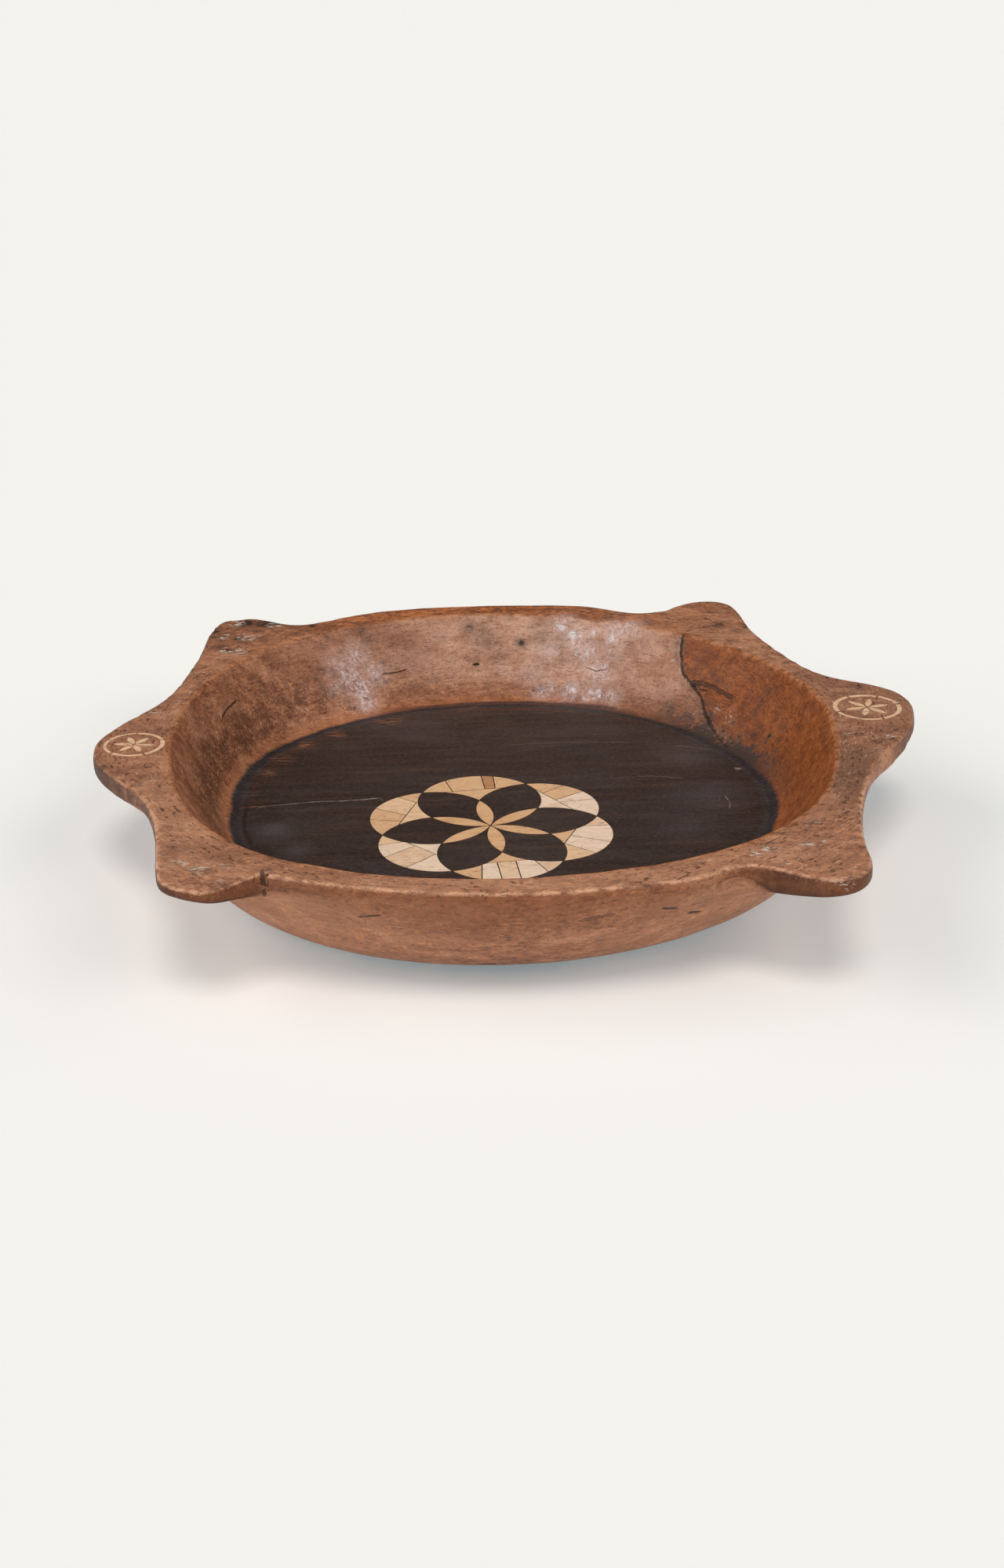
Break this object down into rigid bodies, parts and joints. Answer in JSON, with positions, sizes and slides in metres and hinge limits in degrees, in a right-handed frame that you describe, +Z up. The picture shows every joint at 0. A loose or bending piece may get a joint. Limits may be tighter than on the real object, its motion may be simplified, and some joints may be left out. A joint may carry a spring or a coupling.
{
  "type": "carved wooden bowl",
  "caption": "Shallow carved hardwood bowl with scalloped lugs round its rim, a light inlaid flower let into the floor and small inlaid medallions on the side lugs.",
  "frame": {"origin": "on the table, under the centre of the bowl's bounding box", "axes": "+Z up out of the opening, +X towards the right-hand middle lug, +Y towards the back rim"},
  "size_m": [0.5006, 0.4555, 0.072],
  "materials": {
    "bowl_wood": "worn, oiled, floor stained dark",
    "rosette_inlay": "pale, smooth, slightly polished",
    "medallion_inlay": "pale, worn"
  },
  "bodies": {
    "root": {"bowl_body": "bowl_wood", "left_medallion_petal_1": "medallion_inlay", "left_medallion_petal_2": "medallion_inlay", "left_medallion_petal_3": "medallion_inlay", "left_medallion_petal_4": "medallion_inlay", "left_medallion_petal_5": "medallion_inlay", "left_medallion_petal_6": "medallion_inlay", "left_medallion_ring_1": "medallion_inlay", "left_medallion_ring_2": "medallion_inlay", "left_medallion_ring_3": "medallion_inlay", "left_medallion_ring_4": "medallion_inlay", "left_medallion_ring_5": "medallion_inlay", "right_medallion_petal_1": "medallion_inlay", "right_medallion_petal_2": "medallion_inlay", "right_medallion_petal_3": "medallion_inlay", "right_medallion_petal_4": "medallion_inlay", "right_medallion_petal_5": "medallion_inlay", "right_medallion_petal_6": "medallion_inlay", "right_medallion_ring_1": "medallion_inlay", "right_medallion_ring_2": "medallion_inlay", "right_medallion_ring_3": "medallion_inlay", "right_medallion_ring_4": "medallion_inlay", "right_medallion_ring_5": "medallion_inlay", "rosette_petal_back": "rosette_inlay", "rosette_petal_front": "rosette_inlay", "rosette_petal_left_back": "rosette_inlay", "rosette_petal_left_front": "rosette_inlay", "rosette_petal_right_back": "rosette_inlay", "rosette_petal_right_front": "rosette_inlay", "rosette_shell_back_1": "rosette_inlay", "rosette_shell_back_2": "rosette_inlay", "rosette_shell_back_3": "rosette_inlay", "rosette_shell_back_4": "rosette_inlay", "rosette_shell_back_5": "rosette_inlay", "rosette_shell_front_1": "rosette_inlay", "rosette_shell_front_2": "rosette_inlay", "rosette_shell_front_3": "rosette_inlay", "rosette_shell_front_4": "rosette_inlay", "rosette_shell_front_5": "rosette_inlay", "rosette_shell_front_6": "rosette_inlay", "rosette_shell_left_back_1": "rosette_inlay", "rosette_shell_left_back_2": "rosette_inlay", "rosette_shell_left_back_3": "rosette_inlay", "rosette_shell_left_back_4": "rosette_inlay", "rosette_shell_left_back_5": "rosette_inlay", "rosette_shell_left_front_1": "rosette_inlay", "rosette_shell_left_front_2": "rosette_inlay", "rosette_shell_left_front_3": "rosette_inlay", "rosette_shell_left_front_4": "rosette_inlay", "rosette_shell_left_front_5": "rosette_inlay", "rosette_shell_right_back_1": "rosette_inlay", "rosette_shell_right_back_2": "rosette_inlay", "rosette_shell_right_back_3": "rosette_inlay", "rosette_shell_right_back_4": "rosette_inlay", "rosette_shell_right_back_5": "rosette_inlay", "rosette_shell_right_front_1": "rosette_inlay", "rosette_shell_right_front_2": "rosette_inlay", "rosette_shell_right_front_3": "rosette_inlay", "rosette_shell_right_front_4": "rosette_inlay", "rosette_shell_right_front_5": "rosette_inlay"}
  },
  "joints": []
}
